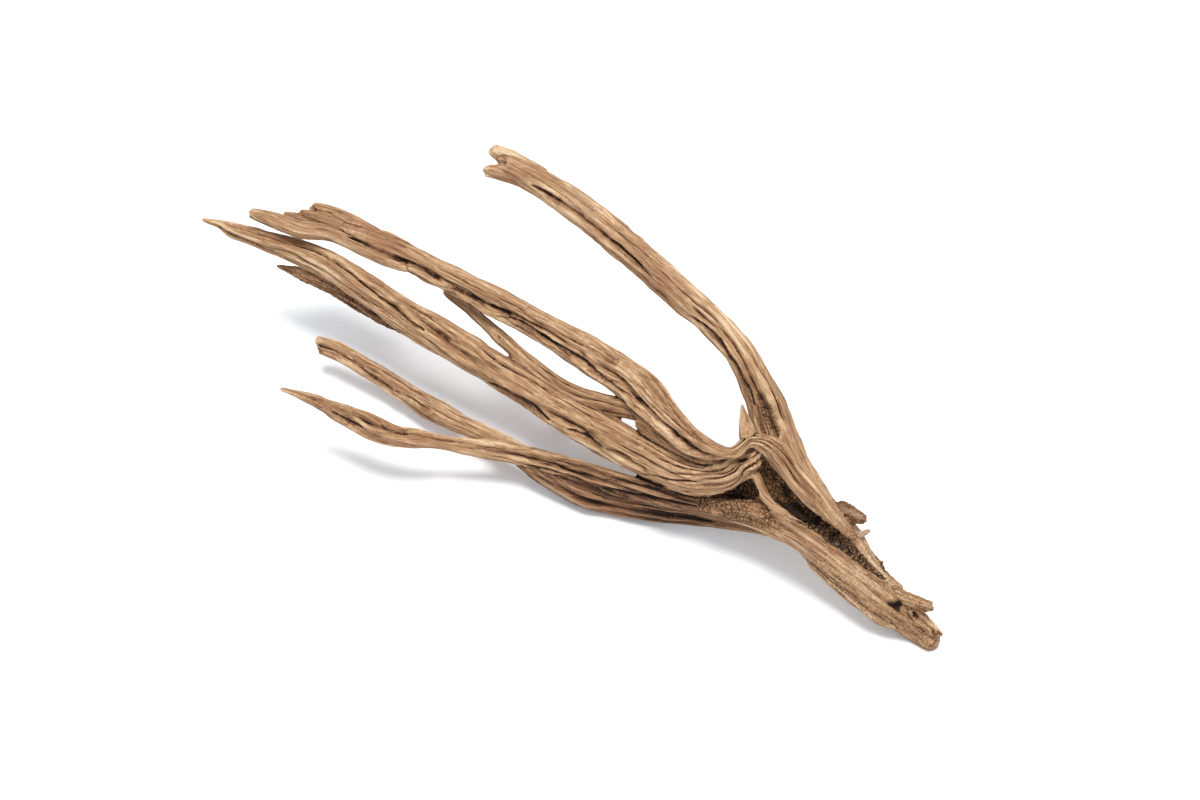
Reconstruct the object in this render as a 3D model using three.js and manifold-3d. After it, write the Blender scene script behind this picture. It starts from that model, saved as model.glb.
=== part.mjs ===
// A piece of driftwood: a short gnarled stem that splits into five long boughs, weathered to one solid.
// Millimetres, +Z up. +X runs from the bough tips to the broken butt, the origin is under the middle of the piece,
// and the belly, the butt and a short prop root under the middle stand on Z = 0.
import * as THREE from "three";
import { mergeVertices } from "three/addons/utils/BufferGeometryUtils.js";
import Module from "manifold-3d";

const STEP_PER_RADIUS = 1.8; // length of one facet along a limb, in limb radii
const SHORTEST_STEP = 9;
const BLUNT = 0.7; // a broken end's width, as a share of the limb's
const WOOD_COLOUR = 0xb58a62;

// Each limb is a route of [x, y, z, radius], from the stem outwards.
const LIMBS = {
  // the boughs, with their prongs and splinters
  tall_bough: [
    [220, 11, 18, 5], [211, 10, 24, 5], [198, 11, 30, 5.5], [181, 18, 36, 6.5], [142, 27, 50, 9],
    [116, 41, 65, 10.5], [106, 46, 75, 10.5], [85, 53, 93, 9], [71, 56, 100, 9], [54, 57, 108, 9],
    [13, 63, 118, 10], [-31, 69, 126, 9.5], [-52, 71, 128, 9], [-80, 71, 131, 7.5], [-92, 71, 131, 6.5],
  ],
  tall_prong_upper: [
    [-65, 75, 131, 5], [-77, 76, 132, 5], [-94, 76, 132, 5.5], [-107, 76, 132, 3],
  ],
  tall_prong_lower: [
    [-63, 71, 128, 5], [-73, 69, 129, 5], [-89, 67, 129, 5], [-101, 61, 129, 3],
  ],
  arched_bough: [
    [185, 15, 38, 4.5], [152, 17, 59, 7], [128, 21, 73, 6], [116, 15, 78, 4], [109, 5, 72, 4],
    [90, 4, 66, 6.5], [63, 13, 61, 8.5], [34, 24, 61, 10.5], [6, 26, 63, 10.5], [-33, 26, 67, 8.5],
    [-57, 26, 69, 8.5], [-129, 21, 75, 8.5], [-149, 18, 77, 8], [-176, 14, 78, 3.5],
  ],
  arched_prong_upper: [
    [-128, 24, 76, 4.5], [-145, 22, 77, 5.5], [-182, 21, 80, 4.5], [-198, 16, 81, 3.5],
  ],
  arched_prong_middle: [
    [-156, 17, 77, 4.5], [-189, 12, 79, 4], [-201, 10, 80, 2.5],
  ],
  arched_splinter: [
    [-165, 14, 77, 4], [-181, 11, 78, 4], [-196, 8, 78, 3.5], [-208, 4, 79, 2],
  ],
  arched_prong_lower: [
    [-120, 18, 74, 4], [-137, 14, 75, 5.5], [-175, 9, 77, 5], [-192, 1, 78, 5.5], [-210, -3, 79, 5],
    [-226, -7, 80, 3],
  ],
  main_bough: [
    [149, 15, 56, 3], [127, 18, 68, 3], [122, 17, 70, 3.5], [120, 12, 67, 5.5], [114, 8, 61, 7.5],
    [107, 1, 54, 8.5], [94, -2, 46, 10.5], [76, -3, 42, 11.5], [56, -1, 38, 12], [34, 0, 37, 12],
    [-6, -2, 40, 11], [-28, -1, 42, 10.5], [-71, -1, 48, 10.5], [-115, -1, 54, 9], [-159, -1, 60, 8],
    [-181, -2, 62, 7.5], [-231, -14, 67, 4], [-241, -15, 67, 2.5], [-253, -19, 68, 1],
  ],
  low_bough: [
    [251, 2, 3, 5.5], [237, 4, 5, 7.5], [223, 2, 14, 9], [206, 2, 21, 10.5], [155, 2, 36, 8.5],
    [124, 0, 34, 7.5], [91, -7, 28, 6], [71, -12, 26, 6.5], [11, -22, 20, 6], [-22, -35, 23, 5],
    [-52, -53, 29, 4], [-79, -68, 35, 6.5], [-96, -71, 37, 6.5], [-128, -76, 41, 3], [-147, -81, 42, 1],
  ],
  belly: [
    [139, 3, 26, 4.5], [122, 3, 20, 5], [85, -7, 10, 5], [65, -14, 8, 6], [28, -24, 8, 7.5],
    [-5, -30, 16, 4.5], [-16, -33, 20, 2.5],
  ],
  belly_web: [
    [126, 1, 28, 4.5], [98, -2, 21, 5], [70, -11, 17, 5], [45, -18, 13, 6], [27, -23, 14, 6],
    [8, -25, 16, 4],
  ],
  short_bough: [
    [-4, -26, 20, 3.5], [-22, -27, 20, 4.5], [-61, -27, 16, 6], [-80, -26, 14, 7], [-100, -24, 14, 6],
    [-150, -26, 20, 5.5], [-164, -29, 21, 5],
  ],
  thin_bough: [
    [67, 14, 54, 5], [49, 17, 51, 5.5], [31, 15, 49, 6], [1, 8, 48, 5], [-36, 11, 51, 4.5],
    [-86, 21, 58, 3], [-103, 21, 61, 1.5],
  ],
  under_bough: [
    [-89, -2, 42, 3.5], [-123, -3, 44, 5.5], [-170, -7, 50, 4.5], [-187, -9, 51, 4], [-203, -13, 52, 1],
  ],
  // the heart of the stem, and the webs round its hollow
  heart: [
    [95, 20, 41, 5.5], [108, 22, 43, 7], [122, 23, 45, 7], [142, 18, 42, 7.5], [164, 15, 38, 6.5],
    [185, 14, 32, 6], [206, 11, 26, 5.5],
  ],
  hollow_back: [
    [94, -1, 34, 6.5], [114, 14, 37, 7.5], [141, 13, 37, 6],
  ],
  hollow_floor: [
    [94, -1, 26, 5.5], [106, 5, 28, 7], [134, 12, 33, 7.5], [148, 11, 33, 7],
  ],
  bridge: [
    [110, -4, 50, 2], [123, 8, 60, 2.5], [133, 5, 50, 3], [184, 9, 32, 3], [196, 9, 28, 2],
  ],
  stem_web: [
    [129, 5, 38, 5.5], [142, 4, 38, 7.5], [157, 4, 36, 8], [174, 6, 31, 8], [194, 5, 25, 7.5],
  ],
  arch_root: [
    [110, 9, 64, 3.5], [99, 5, 60, 4], [87, 5, 56, 5], [63, 8, 52, 5.5], [41, 12, 50, 4.5],
  ],
  // the foot under the middle
  prop_root: [
    [-9, -2, 40, 8], [-14, 15, 20, 5], [-18, 25, 10, 4], [-21, 36, -1, 5],
  ],
  groove_back: [
    [112, 19, 66, 3.5], [119, 22, 59, 4.5], [143, 17, 49, 5.5],
  ],
  arch_fill: [
    [106, 8, 62, 3.5], [112, 11, 65, 4], [117, 15, 67, 4.5], [123, 20, 65, 4],
  ],
  // spikes, knobs, rims and stubs
  spike: [
    [115, 15, 76, 4.5], [112, 17, 80, 4.5], [103, 24, 93, 0.5],
  ],
  spike_spur: [
    [115, 14, 76, 3], [107, 16, 80, 1],
  ],
  butt_prong: [
    [215, 8, 20, 5], [228, 6, 18, 4.5], [252, 3, 10, 3],
  ],
  butt_knob: [
    [217, 7, 22, 4.5], [231, 7, 24, 4], [243, 9, 24, 3.5],
  ],
  side_knob: [
    [167, 25, 45, 5], [178, 24, 47, 4.5], [189, 24, 47, 3],
  ],
  side_thorn: [
    [180, 16, 40, 4.5], [187, 18, 41, 2.5], [191, 24, 42, 1],
  ],
  stem_lip: [
    [225, -5, 11, 3], [212, -7, 14, 3.5], [166, -3, 27, 3],
  ],
  shelf: [
    [94, -7, 29, 3.5], [107, -6, 34, 5], [121, -2, 37, 7], [135, 2, 38, 7], [148, 2, 37, 5.5],
  ],
  thin_stub: [
    [62, 17, 50, 4], [43, 19, 46, 3.5], [17, 15, 43, 2.5],
  ],
};

// The limb's centre line and its radius at t from 0 to 1.
function route(points) {
  const path = new THREE.CatmullRomCurve3(
    points.map(([x, y, z]) => new THREE.Vector3(x, y, z)),
    false,
    "centripetal",
  );
  const radiusAt = (t) => {
    const at = t * (points.length - 1);
    const i = Math.min(Math.floor(at), points.length - 2);
    return THREE.MathUtils.lerp(points[i][3], points[i + 1][3], at - i);
  };
  return { path, radiusAt };
}

// Places along the limb, in path parameter, that are about one facet length apart.
function stations({ path, radiusAt }) {
  const found = [0];
  const fine = 400;
  let walked = 0;
  let last = path.getPoint(0);
  for (let i = 1; i <= fine; i++) {
    const here = path.getPoint(i / fine);
    walked += here.distanceTo(last);
    last = here;
    if (walked > Math.max(SHORTEST_STEP, STEP_PER_RADIUS * radiusAt(i / fine))) {
      found.push(i / fine);
      walked = 0;
    }
  }
  if (1 - found.at(-1) < 0.02) found.pop();
  return [...found, 1];
}

// Faces round a limb: 6 on the thinnest, 10 on the stoutest.
function sidesOf(points) {
  const widest = Math.max(...points.map((point) => point[3]));
  return 2 * Math.round(2.4 + widest / 4);
}

// A body of revolution whose axis is then laid along the limb's route.
function limbGeometry(points) {
  const limb = route(points);
  const at = stations(limb);
  const ends = [0, 1].map((t) => new THREE.Vector2(limb.radiusAt(t) * BLUNT, t));
  const rings = at.slice(1, -1).map((t) => new THREE.Vector2(limb.radiusAt(t), t));
  const profile = [new THREE.Vector2(0, 0), ends[0], ...rings, ends[1], new THREE.Vector2(0, 1)];
  const geometry = new THREE.LatheGeometry(profile, sidesOf(points));
  const position = geometry.getAttribute("position");
  const up = new THREE.Vector3(0, 0, 1);
  for (let i = 0; i < position.count; i++) {
    const t = THREE.MathUtils.clamp(position.getY(i), 0, 1);
    const along = limb.path.getTangent(t);
    const rise = up.clone().addScaledVector(along, -up.dot(along)).normalize();
    const side = new THREE.Vector3().crossVectors(rise, along);
    const point = limb.path
      .getPoint(t)
      .addScaledVector(rise, position.getX(i))
      .addScaledVector(side, position.getZ(i));
    position.setXYZ(i, point.x, point.y, point.z);
  }
  return geometry;
}

const wasm = await Module();
wasm.setup();

function solidOf(geometry) {
  geometry.deleteAttribute("normal");
  geometry.deleteAttribute("uv");
  const merged = mergeVertices(geometry, 1e-3);
  return new wasm.Manifold(
    new wasm.Mesh({
      numProp: 3,
      vertProperties: new Float32Array(merged.attributes.position.array),
      triVerts: new Uint32Array(merged.index.array),
    }),
  );
}

// The ground wears everything below Z = 0 flat.
function ground() {
  const span = 1000;
  const depth = 50;
  const box = new THREE.BoxGeometry(span, span, depth);
  box.translate(0, 0, -depth / 2);
  return solidOf(box);
}

function geometryOf(solid) {
  const mesh = solid.getMesh();
  const geometry = new THREE.BufferGeometry();
  geometry.setAttribute("position", new THREE.BufferAttribute(new Float32Array(mesh.vertProperties), 3));
  geometry.setIndex(new THREE.BufferAttribute(new Uint32Array(mesh.triVerts), 1));
  geometry.computeVertexNormals();
  return geometry;
}

const limbs = Object.values(LIMBS).map((points) => solidOf(limbGeometry(points)));
const grown = limbs.reduce((whole, limb) => whole.add(limb)).subtract(ground());
const { min, max } = grown.boundingBox();
const wood = grown.translate([-(min[0] + max[0]) / 2, -(min[1] + max[1]) / 2, 0]);

const driftwood = new THREE.Mesh(
  geometryOf(wood),
  new THREE.MeshStandardMaterial({ color: WOOD_COLOUR, roughness: 0.85, metalness: 0 }),
);
driftwood.name = "driftwood";

const part = new THREE.Group();
part.add(driftwood);

export default part;
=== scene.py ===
"""A piece of driftwood: one weathered body of wood, with its strands, splits, knots and rotten heart.

It is laid out as a Blender add-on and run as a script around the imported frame. Routes and reliefs are in
millimetres, as in the part's own source, and everything that reaches the scene is in metres.
"""

from itertools import product

import bpy
import numpy as np
from bpy.props import FloatProperty, FloatVectorProperty, IntProperty, PointerProperty
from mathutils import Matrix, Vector


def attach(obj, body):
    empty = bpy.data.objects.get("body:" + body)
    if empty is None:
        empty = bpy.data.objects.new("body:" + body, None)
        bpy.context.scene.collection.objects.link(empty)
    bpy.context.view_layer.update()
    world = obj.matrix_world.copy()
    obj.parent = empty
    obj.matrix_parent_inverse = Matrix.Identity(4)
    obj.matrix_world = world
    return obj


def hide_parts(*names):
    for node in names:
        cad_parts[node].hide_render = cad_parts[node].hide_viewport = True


bl_info = {
    "name": "Driftwood",
    "version": (1, 0, 0),
    "blender": (4, 5, 0),
    "location": "View3D > Sidebar > Driftwood",
    "description": "Grows the weathered wood and its finish around the packed solid, and sets the stage",
    "category": "Object",
}

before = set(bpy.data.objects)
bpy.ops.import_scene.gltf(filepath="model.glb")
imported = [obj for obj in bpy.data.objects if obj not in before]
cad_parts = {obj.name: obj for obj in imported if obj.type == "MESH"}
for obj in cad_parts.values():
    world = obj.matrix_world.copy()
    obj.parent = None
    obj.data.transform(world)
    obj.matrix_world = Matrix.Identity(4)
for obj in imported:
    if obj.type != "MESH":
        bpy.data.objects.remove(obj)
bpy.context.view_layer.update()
MM = 0.001
VOXEL = 0.55 * MM

# Where the boughs give way to the stem, and the stem to its crusted butt, in mm along X.
STEM = (70, 110)
BUTT = (150, 185)

# Each limb is a route of (x, y, z, radius), from the stem outwards.
LIMBS = {
    # the boughs, with their prongs and splinters
    "tall_bough": [
        (220, 11, 18, 5), (211, 10, 24, 5), (198, 11, 30, 5.5), (181, 18, 36, 6.5), (142, 27, 50, 9),
        (116, 41, 65, 10.5), (106, 46, 75, 10.5), (85, 53, 93, 9), (71, 56, 100, 9), (54, 57, 108, 9),
        (13, 63, 118, 10), (-31, 69, 126, 9.5), (-52, 71, 128, 9), (-80, 71, 131, 7.5), (-92, 71, 131, 6.5),
    ],
    "tall_prong_upper": [(-65, 75, 131, 5), (-77, 76, 132, 5), (-94, 76, 132, 5.5), (-107, 76, 132, 3)],
    "tall_prong_lower": [(-63, 71, 128, 5), (-73, 69, 129, 5), (-89, 67, 129, 5), (-101, 61, 129, 3)],
    "arched_bough": [
        (185, 15, 38, 4.5), (152, 17, 59, 7), (128, 21, 73, 6), (116, 15, 78, 4), (109, 5, 72, 4),
        (90, 4, 66, 6.5), (63, 13, 61, 8.5), (34, 24, 61, 10.5), (6, 26, 63, 10.5), (-33, 26, 67, 8.5),
        (-57, 26, 69, 8.5), (-129, 21, 75, 8.5), (-149, 18, 77, 8), (-176, 14, 78, 3.5),
    ],
    "arched_prong_upper": [
        (-128, 24, 76, 4.5), (-145, 22, 77, 5.5), (-182, 21, 80, 4.5), (-198, 16, 81, 3.5),
    ],
    "arched_prong_middle": [(-156, 17, 77, 4.5), (-189, 12, 79, 4), (-201, 10, 80, 2.5)],
    "arched_splinter": [(-165, 14, 77, 4), (-181, 11, 78, 4), (-196, 8, 78, 3.5), (-208, 4, 79, 2)],
    "arched_prong_lower": [
        (-120, 18, 74, 4), (-137, 14, 75, 5.5), (-175, 9, 77, 5), (-192, 1, 78, 5.5), (-210, -3, 79, 5),
        (-226, -7, 80, 3),
    ],
    "main_bough": [
        (149, 15, 56, 3), (127, 18, 68, 3), (122, 17, 70, 3.5), (120, 12, 67, 5.5), (114, 8, 61, 7.5),
        (107, 1, 54, 8.5), (94, -2, 46, 10.5), (76, -3, 42, 11.5), (56, -1, 38, 12), (34, 0, 37, 12),
        (-6, -2, 40, 11), (-28, -1, 42, 10.5), (-71, -1, 48, 10.5), (-115, -1, 54, 9), (-159, -1, 60, 8),
        (-181, -2, 62, 7.5), (-231, -14, 67, 4), (-241, -15, 67, 2.5), (-253, -19, 68, 1),
    ],
    "low_bough": [
        (251, 2, 3, 5.5), (237, 4, 5, 7.5), (223, 2, 14, 9), (206, 2, 21, 10.5), (155, 2, 36, 8.5),
        (124, 0, 34, 7.5), (91, -7, 28, 6), (71, -12, 26, 6.5), (11, -22, 20, 6), (-22, -35, 23, 5),
        (-52, -53, 29, 4), (-79, -68, 35, 6.5), (-96, -71, 37, 6.5), (-128, -76, 41, 3), (-147, -81, 42, 1),
    ],
    "belly": [
        (139, 3, 26, 4.5), (122, 3, 20, 5), (85, -7, 10, 5), (65, -14, 8, 6), (28, -24, 8, 7.5),
        (-5, -30, 16, 4.5), (-16, -33, 20, 2.5),
    ],
    "belly_web": [
        (126, 1, 28, 4.5), (98, -2, 21, 5), (70, -11, 17, 5), (45, -18, 13, 6), (27, -23, 14, 6),
        (8, -25, 16, 4),
    ],
    "short_bough": [
        (-4, -26, 20, 3.5), (-22, -27, 20, 4.5), (-61, -27, 16, 6), (-80, -26, 14, 7), (-100, -24, 14, 6),
        (-150, -26, 20, 5.5), (-164, -29, 21, 5),
    ],
    "thin_bough": [
        (67, 14, 54, 5), (49, 17, 51, 5.5), (31, 15, 49, 6), (1, 8, 48, 5), (-36, 11, 51, 4.5),
        (-86, 21, 58, 3), (-103, 21, 61, 1.5),
    ],
    "under_bough": [
        (-89, -2, 42, 3.5), (-123, -3, 44, 5.5), (-170, -7, 50, 4.5), (-187, -9, 51, 4), (-203, -13, 52, 1),
    ],
    # the heart of the stem, and the webs round its hollow
    "heart": [
        (95, 20, 41, 5.5), (108, 22, 43, 7), (122, 23, 45, 7), (142, 18, 42, 7.5), (164, 15, 38, 6.5),
        (185, 14, 32, 6), (206, 11, 26, 5.5),
    ],
    "hollow_back": [(94, -1, 34, 6.5), (114, 14, 37, 7.5), (141, 13, 37, 6)],
    "hollow_floor": [(94, -1, 26, 5.5), (106, 5, 28, 7), (134, 12, 33, 7.5), (148, 11, 33, 7)],
    "bridge": [(110, -4, 50, 2), (123, 8, 60, 2.5), (133, 5, 50, 3), (184, 9, 32, 3), (196, 9, 28, 2)],
    "stem_web": [(129, 5, 38, 5.5), (142, 4, 38, 7.5), (157, 4, 36, 8), (174, 6, 31, 8), (194, 5, 25, 7.5)],
    "arch_root": [(110, 9, 64, 3.5), (99, 5, 60, 4), (87, 5, 56, 5), (63, 8, 52, 5.5), (41, 12, 50, 4.5)],
    # the foot under the middle
    "prop_root": [(-9, -2, 40, 8), (-14, 15, 20, 5), (-18, 25, 10, 4), (-21, 36, -1, 5)],
    "groove_back": [(112, 19, 66, 3.5), (119, 22, 59, 4.5), (143, 17, 49, 5.5)],
    "arch_fill": [(106, 8, 62, 3.5), (112, 11, 65, 4), (117, 15, 67, 4.5), (123, 20, 65, 4)],
    # spikes, knobs, rims and stubs
    "spike": [(115, 15, 76, 4.5), (112, 17, 80, 4.5), (103, 24, 93, 0.5)],
    "spike_spur": [(115, 14, 76, 3), (107, 16, 80, 1)],
    "butt_prong": [(215, 8, 20, 5), (228, 6, 18, 4.5), (252, 3, 10, 3)],
    "butt_knob": [(217, 7, 22, 4.5), (231, 7, 24, 4), (243, 9, 24, 3.5)],
    "side_knob": [(167, 25, 45, 5), (178, 24, 47, 4.5), (189, 24, 47, 3)],
    "side_thorn": [(180, 16, 40, 4.5), (187, 18, 41, 2.5), (191, 24, 42, 1)],
    "stem_lip": [(225, -5, 11, 3), (212, -7, 14, 3.5), (166, -3, 27, 3)],
    "shelf": [(94, -7, 29, 3.5), (107, -6, 34, 5), (121, -2, 37, 7), (135, 2, 38, 7), (148, 2, 37, 5.5)],
    "thin_stub": [(62, 17, 50, 4), (43, 19, 46, 3.5), (17, 15, 43, 2.5)],
}


# Lines of relief on a limb: (height, half width, [(distance along the limb, degrees round it), ...]). A
# negative height is a groove. Degrees run from 0 on top through 90 on the front to 180 underneath.
RELIEF = {
    "tall_bough": [
        (-4.0, 1.8, [(317, 56), (303, 49), (290, 48), (278, 50), (268, 38), (257, 42), (243, 52), (224, 58)]),
        (-2.4, 1.3, [(230, 57), (216, 60), (200, 47), (186, 47), (168, 47), (150, 40)]),
        (-2.6, 1.5, [(288, 80), (273, 90), (257, 112), (240, 118), (225, 105), (214, 92), (203, 95)]),
        (-5.0, 2.2, [
            (207, 112), (186, 118), (166, 112), (150, 100), (138, 92), (126, 62), (112, 40), (100, 34),
        ]),
        (-2.6, 1.3, [(165, 6), (154, -2), (144, -8), (129, -12), (114, -14)]),
        (-2.0, 1.2, [(112, -62), (87, -60), (60, -58), (30, -50)]),
        (-1.4, 0.8, [(250, 22), (228, 30), (205, 24), (180, 22), (152, 20)]),
        (-1.2, 0.7, [(300, 20), (270, 12), (240, 8), (212, 10)]),
        (1.6, 2.6, [(215, 78), (195, 84), (170, 80), (150, 66), (132, 44)]),
    ],
    "arched_bough": [
        (-5.0, 2.0, [(108, 66), (121, 56), (133, 57), (149, 62), (163, 62), (176, 55), (190, 47), (214, 41)]),
        (-4.6, 1.8, [(205, 43), (232, 40), (247, 44), (264, 56), (278, 63), (296, 60), (318, 54), (348, 64)]),
        (-2.0, 1.0, [(139, 78), (159, 82), (181, 68), (202, 68), (229, 70), (258, 84), (280, 112)]),
        (1.8, 2.0, [
            (130, 100), (152, 110), (180, 92), (215, 84), (251, 86), (278, 98), (305, 118), (333, 122),
        ]),
        (-1.4, 0.8, [(92, 21), (115, 8), (137, 10), (156, 18), (171, 24), (188, 28)]),
        (-1.2, 0.8, [(99, -14), (125, -22), (150, -28), (180, -20), (215, -12)]),
        (-1.2, 0.7, [(200, 10), (235, 4), (270, 12), (300, 20), (330, 24)]),
        (-1.4, 0.7, [(40, 10), (60, 8), (78, 18), (96, 30)]),
        (-1.4, 0.7, [(34, 50), (56, 52), (76, 58), (94, 60)]),
        (-1.4, 0.7, [(38, -30), (60, -32), (82, -20), (104, -8)]),
    ],
    "main_bough": [
        (-4.2, 2.2, [(225, 36), (238, 40), (250, 38), (263, 32), (280, 22)]),
        (-3.0, 0.6, [(281, 50), (292, 40), (302, 36), (314, 28), (322, 18), (337, 10), (350, -14)]),
        (-2.6, 1.2, [(142, 0), (161, -2), (180, -9), (198, -10), (216, -6), (236, -8)]),
        (-4.6, 2.2, [(140, 76), (147, 62), (157, 54), (170, 53), (184, 56), (196, 70)]),
        (-3.8, 1.7, [(100, 74), (110, 70), (123, 64), (136, 68)]),
        (-2.2, 0.7, [(40, 0), (58, 5), (71, 10), (89, 18), (108, 26)]),
        (-1.8, 0.7, [(34, 36), (48, 46), (62, 50), (76, 60), (92, 73), (116, 100)]),
        (-2.6, 1.2, [(80, 118), (99, 122), (123, 118), (146, 100)]),
        (-1.6, 0.8, [(14, 38), (25, 50), (34, 70), (48, 84), (62, 92)]),
        (-1.4, 0.7, [(12, 8), (24, 20), (34, 22), (50, 24), (72, 34), (96, 48)]),
        (2.0, 2.2, [
            (150, 26), (168, 32), (183, 41), (199, 54), (217, 62), (240, 70), (254, 60), (270, 46),
            (290, 24),
        ]),
        (-1.6, 0.9, [(206, 30), (226, 18), (246, 6), (268, -2), (290, -10)]),
        (-2.4, 1.3, [(300, 88), (320, 80), (340, 72), (362, 62), (385, 54)]),
        (1.8, 2.0, [(112, 50), (126, 44), (138, 46), (150, 40)]),
    ],
    "low_bough": [
        (1.8, 2.2, [
            (150, 50), (170, 46), (186, 40), (207, 22), (229, 4), (250, -10), (268, -36), (300, -40),
        ]),
        (-2.8, 1.5, [(170, 74), (188, 60), (206, 50), (225, 46), (245, 42), (264, 40), (290, 30)]),
        (-2.0, 1.0, [(180, 100), (205, 92), (230, 86), (255, 84), (280, 90)]),
        (-3.4, 1.9, [(334, -20), (343, 4), (352, 16), (364, 18), (378, 0)]),
        (1.8, 1.6, [(318, -50), (336, -50), (352, -44), (368, -24), (390, -10)]),
        (1.8, 1.5, [(322, 60), (338, 58), (352, 62), (366, 40), (384, 24)]),
        (-1.2, 0.7, [(44, 10), (66, 2), (88, 14), (108, 20)]),
        (-1.4, 0.8, [(33, 52), (51, 62), (72, 66), (96, 58), (120, 56)]),
        (-3.2, 1.5, [(20, 112), (42, 118), (69, 120), (96, 116), (120, 112)]),
        (-1.2, 0.7, [(20, -20), (50, -30), (80, -36), (110, -20)]),
        (-4.0, 1.8, [(0, 20), (10, 14), (22, 8), (30, -4)]),
    ],
    "belly": [
        (1.6, 1.8, [(50, 30), (74, 30), (93, 24), (112, 14), (130, -10)]),
        (-3.0, 1.5, [(56, 62), (76, 60), (97, 58), (116, 60), (140, 50)]),
        (-2.2, 1.2, [(40, 96), (70, 92), (100, 96), (130, 104)]),
        (-2.2, 1.2, [(60, -6), (84, -8), (108, -20), (126, -40)]),
    ],
    "short_bough": [
        (-4.6, 2.4, [(122, 40), (136, 38), (148, 34), (157, 32)]),
        (-1.2, 0.7, [(42, 34), (65, 30), (96, 46), (120, 42)]),
        (-1.2, 0.7, [(40, -14), (70, -22), (100, -16), (130, -24)]),
        (-1.4, 0.8, [(30, 84), (60, 92), (90, 86), (120, 96)]),
    ],
    "thin_bough": [
        (-1.6, 0.9, [(23, 40), (44, 38), (63, 40), (84, 42), (106, 38)]),
        (-1.2, 0.7, [(20, 84), (50, 78), (80, 88), (110, 80)]),
        (-1.2, 0.7, [(18, -10), (46, -16), (80, -10), (120, -20)]),
    ],
    "under_bough": [
        (-2.6, 1.4, [(16, 40), (40, 48), (66, 40), (90, 46)]),
        (-1.6, 0.9, [(30, 90), (54, 84), (80, 92)]),
    ],
}

# Hollows carved into the joined wood: (depth, rot from 0 to 1, [(x, y, z, half width), ...]). The depth also
# darkens the colour there, as painted shade.
CARVED = [
    # the charred groove down the stem
    (4, 1.0, [
        (125, 13, 70, 2.2), (128, 16, 57, 3.4), (136, 13, 53, 4.4), (147, 12, 46, 4.6), (163, 11, 43, 4.2),
        (179, 9, 38, 3.6), (193, 8, 35, 3), (203, 7, 32, 2.2), (211, 8, 29, 1.4),
    ]),
    # the cavity under the fold, crumbled and dark: partly rot and partly painted shade in the hole
    (5, 1.0, [(113, -4, 50, 3), (114, 8, 42, 4.2), (118, 11, 44, 4.8), (128, 3, 53, 4)]),
    # the crumbled shelf beside it
    (0.5, 0.8, [(100, -10, 34, 4), (114, -9, 39, 5), (127, -6, 42, 6), (138, -4, 42, 6), (148, -4, 42, 4)]),
    # the dark hollow at the foot of the tall bough
    (3.2, 0.7, [(102, 41, 87, 2), (108, 38, 82, 3.2), (115, 35, 76, 3.8), (123, 32, 70, 3)]),
    # the crevice under the arched bough
    (6.0, 0.25, [
        (54, 8, 66, 1.8), (65, 4, 65, 2.2), (75, 0, 65, 2.4), (85, -2, 66, 2.6), (95, -3, 66, 2.6),
        (103, -1, 68, 2.6), (111, 2, 70, 2.4), (115, 8, 70, 2.2), (118, 11, 76, 1.8),
    ]),
    # the hole and the groove in the butt
    (5, 0.6, [(221, -2, 25, 2.4), (226, -1, 22, 2.8)]),
    (4, 0.5, [(232, 3, 20, 2.2), (242, 2, 16, 2.6), (252, 1, 12, 2.6)]),
    # the lens near the tip of the low bough
    (3, 0.2, [(-81, -68, 42, 2), (-74, -66, 40, 2.6), (-68, -62, 38, 2)]),
    # the dark flake on the low bough
    (2.2, 0.3, [(-111, -78, 42, 1.6), (-101, -77, 40, 2.4), (-90, -76, 40, 2)]),
    # the hollow end of the short bough
    (3.5, 0.3, [(-160, -31, 24, 2), (-150, -30, 24, 2.6), (-139, -29, 23, 2)]),
    # the recess of the short bough
    (2.0, 0.3, [(-132, -29, 22, 1.8), (-115, -29, 18, 2.2), (-98, -30, 17, 2)]),
    # the hollow of the main bough
    (3.2, 0.35, [(-48, -11, 44, 1.6), (-35, -11, 43, 2.8), (-20, -12, 44, 3), (-4, -13, 42, 2)]),
    # the slot of the main bough
    (3.5, 0.3, [(9, -13, 42, 1.4), (20, -12, 42, 2.2), (34, -12, 40, 1.6)]),
    # the split of the main bough
    (3.0, 0.2, [(-130, -6, 64, 1.2), (-117, -6, 62, 2), (-104, -8, 59, 2.4), (-95, -8, 58, 1.6)]),
    # the recess along the arched bough
    (2.6, 0.35, [
        (-163, 10, 81, 1.2), (-138, 13, 80, 2.2), (-110, 14, 76, 2), (-84, 16, 72, 2.4), (-58, 18, 71, 2),
        (-31, 18, 69, 2.4), (-5, 17, 68, 2.2), (18, 15, 64, 2), (44, 11, 65, 1.8), (64, 5, 66, 1.4),
    ]),
    # the dark strand of the tall bough
    (2.4, 0.3, [
        (-67, 64, 134, 1.2), (-53, 64, 133, 2.2), (-35, 62, 132, 2.4), (-16, 59, 130, 1.8),
        (1, 56, 126, 2.2), (22, 53, 121, 1.6),
    ]),
    # the hollow side of the tall bough
    (3, 0.35, [
        (52, 48, 111, 1.4), (68, 48, 106, 2.2), (83, 45, 96, 2.4), (95, 40, 87, 2.2), (103, 37, 78, 2),
    ]),
    # the furrows of the low bough
    (2.2, 0.35, [
        (15, -28, 18, 1.4), (34, -25, 19, 2), (56, -21, 24, 2), (77, -16, 29, 1.8), (97, -11, 32, 1.4),
    ]),
    (2.4, 0.4, [
        (27, -30, 12, 1.4), (45, -26, 11, 2), (65, -18, 12, 2), (86, -10, 14, 1.8), (107, -5, 18, 1.4),
    ]),
    (1.8, 0.2, [
        (2, -30, 24, 1.4), (23, -24, 24, 1.8), (44, -19, 28, 1.8), (68, -13, 32, 1.6), (94, -13, 44, 1.2),
    ]),
    # the crevice under the stem
    (2.8, 0.4, [(183, -8, 21, 1.4), (194, -10, 18, 1.8), (208, -10, 13, 1.6), (220, -10, 10, 1.2)]),
]

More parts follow.
